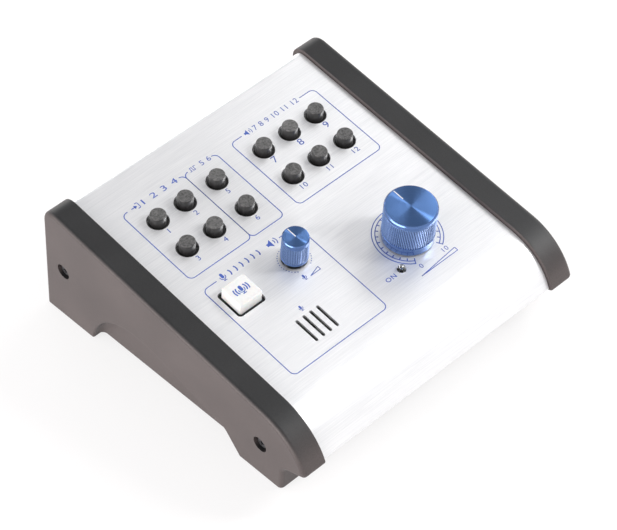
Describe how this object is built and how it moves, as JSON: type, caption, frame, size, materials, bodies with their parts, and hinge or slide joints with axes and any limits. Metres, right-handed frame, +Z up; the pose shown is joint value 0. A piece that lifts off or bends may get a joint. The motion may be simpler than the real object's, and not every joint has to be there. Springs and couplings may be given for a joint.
{
  "type": "studio monitor controller",
  "caption": "Sloping desktop controller with a brushed metal deck between black cheeks, with push buttons, a talkback key and turning volume and level knobs.",
  "frame": {"origin": "middle of the bounding box, on the plane of the rubber pads that it stands on", "axes": "+Z up, +Y to the rear, away from the user, +X to the user's right"},
  "size_m": [0.155, 0.1694, 0.066],
  "materials": {
    "cheek_black": "fine textured moulded black",
    "pad_rubber": "matt black rubber",
    "screw_black": "black oxide steel",
    "zinc_steel": "zinc plated steel",
    "panel_aluminium": "fine brushed, clear anodised",
    "tray_black": "matt black powder coat",
    "board_laminate": "green solder mask",
    "switch_black": "black moulded",
    "key_white": "white moulded, satin",
    "shaft_steel": "turned",
    "knob_blue": "blue anodised, turned and knurled",
    "hub_black": "black moulded",
    "lens_clear": "clear",
    "boot_rubber": "matt black rubber",
    "socket_tin": "bright tin plate",
    "button_smoke": "smoky grey, matt"
  },
  "bodies": {
    "base": {"left_cheek": "cheek_black", "right_cheek": "cheek_black", "foot_pads": "pad_rubber", "left_cheek_screws": "screw_black", "right_cheek_screws": "screw_black", "clinch_nuts": "zinc_steel", "top_panel": "panel_aluminium", "base_tray": "tray_black", "rear_panel_screws": "screw_black", "front_panel_screws": "screw_black", "control_board": "board_laminate", "board_standoffs": "zinc_steel", "board_screws": "zinc_steel", "button_switches": "switch_black", "talkback_switch": "switch_black", "volume_pot": "zinc_steel", "level_pot": "zinc_steel", "level_led": "lens_clear", "mic_boot": "boot_rubber", "mic_capsule": "shaft_steel", "socket_shell": "socket_tin", "socket_insert": "hub_black", "jack_screws": "socket_tin"},
    "volume_knob": {"volume_knob": "knob_blue", "volume_knob_hub": "hub_black", "volume_shaft": "shaft_steel"},
    "level_knob": {"level_knob": "knob_blue", "level_knob_hub": "hub_black", "level_shaft": "shaft_steel"},
    "talkback_key": {"talkback_cap": "key_white", "talkback_carrier": "switch_black"},
    "input_button_1": {"input_button_1": "button_smoke"},
    "input_button_2": {"input_button_2": "button_smoke"},
    "input_button_3": {"input_button_3": "button_smoke"},
    "input_button_4": {"input_button_4": "button_smoke"},
    "digital_button_1": {"digital_button_1": "button_smoke"},
    "digital_button_2": {"digital_button_2": "button_smoke"},
    "speaker_button_1": {"speaker_button_1": "button_smoke"},
    "speaker_button_2": {"speaker_button_2": "button_smoke"},
    "speaker_button_3": {"speaker_button_3": "button_smoke"},
    "speaker_button_4": {"speaker_button_4": "button_smoke"},
    "speaker_button_5": {"speaker_button_5": "button_smoke"},
    "speaker_button_6": {"speaker_button_6": "button_smoke"}
  },
  "joints": [
    {"name": "volume_turn", "type": "hinge", "parent": "base", "child": "volume_knob", "pos_m": [0.0301, -0.03468, 0.0448], "axis": [0, -0.1736, 0.9848], "range_deg": [-150, 150]},
    {"name": "level_turn", "type": "hinge", "parent": "base", "child": "level_knob", "pos_m": [-0.01445, -0.01311, 0.04861], "axis": [0, -0.1736, 0.9848], "range_deg": [-150, 150]},
    {"name": "talkback_press", "type": "slide", "parent": "base", "child": "talkback_key", "axis": [0, 0.1736, -0.9848], "range_m": [0, 0.0015], "stiffness_N_per_m": 900, "springref_m": -0.0008},
    {"name": "input_button_1_press", "type": "slide", "parent": "base", "child": "input_button_1", "axis": [0, 0.1736, -0.9848], "range_m": [0, 0.0012], "stiffness_N_per_m": 800, "springref_m": -0.0008},
    {"name": "input_button_2_press", "type": "slide", "parent": "base", "child": "input_button_2", "axis": [0, 0.1736, -0.9848], "range_m": [0, 0.0012], "stiffness_N_per_m": 800, "springref_m": -0.0008},
    {"name": "input_button_3_press", "type": "slide", "parent": "base", "child": "input_button_3", "axis": [0, 0.1736, -0.9848], "range_m": [0, 0.0012], "stiffness_N_per_m": 800, "springref_m": -0.0008},
    {"name": "input_button_4_press", "type": "slide", "parent": "base", "child": "input_button_4", "axis": [0, 0.1736, -0.9848], "range_m": [0, 0.0012], "stiffness_N_per_m": 800, "springref_m": -0.0008},
    {"name": "digital_button_1_press", "type": "slide", "parent": "base", "child": "digital_button_1", "axis": [0, 0.1736, -0.9848], "range_m": [0, 0.0012], "stiffness_N_per_m": 800, "springref_m": -0.0008},
    {"name": "digital_button_2_press", "type": "slide", "parent": "base", "child": "digital_button_2", "axis": [0, 0.1736, -0.9848], "range_m": [0, 0.0012], "stiffness_N_per_m": 800, "springref_m": -0.0008},
    {"name": "speaker_button_1_press", "type": "slide", "parent": "base", "child": "speaker_button_1", "axis": [0, 0.1736, -0.9848], "range_m": [0, 0.0012], "stiffness_N_per_m": 800, "springref_m": -0.0008},
    {"name": "speaker_button_2_press", "type": "slide", "parent": "base", "child": "speaker_button_2", "axis": [0, 0.1736, -0.9848], "range_m": [0, 0.0012], "stiffness_N_per_m": 800, "springref_m": -0.0008},
    {"name": "speaker_button_3_press", "type": "slide", "parent": "base", "child": "speaker_button_3", "axis": [0, 0.1736, -0.9848], "range_m": [0, 0.0012], "stiffness_N_per_m": 800, "springref_m": -0.0008},
    {"name": "speaker_button_4_press", "type": "slide", "parent": "base", "child": "speaker_button_4", "axis": [0, 0.1736, -0.9848], "range_m": [0, 0.0012], "stiffness_N_per_m": 800, "springref_m": -0.0008},
    {"name": "speaker_button_5_press", "type": "slide", "parent": "base", "child": "speaker_button_5", "axis": [0, 0.1736, -0.9848], "range_m": [0, 0.0012], "stiffness_N_per_m": 800, "springref_m": -0.0008},
    {"name": "speaker_button_6_press", "type": "slide", "parent": "base", "child": "speaker_button_6", "axis": [0, 0.1736, -0.9848], "range_m": [0, 0.0012], "stiffness_N_per_m": 800, "springref_m": -0.0008}
  ]
}
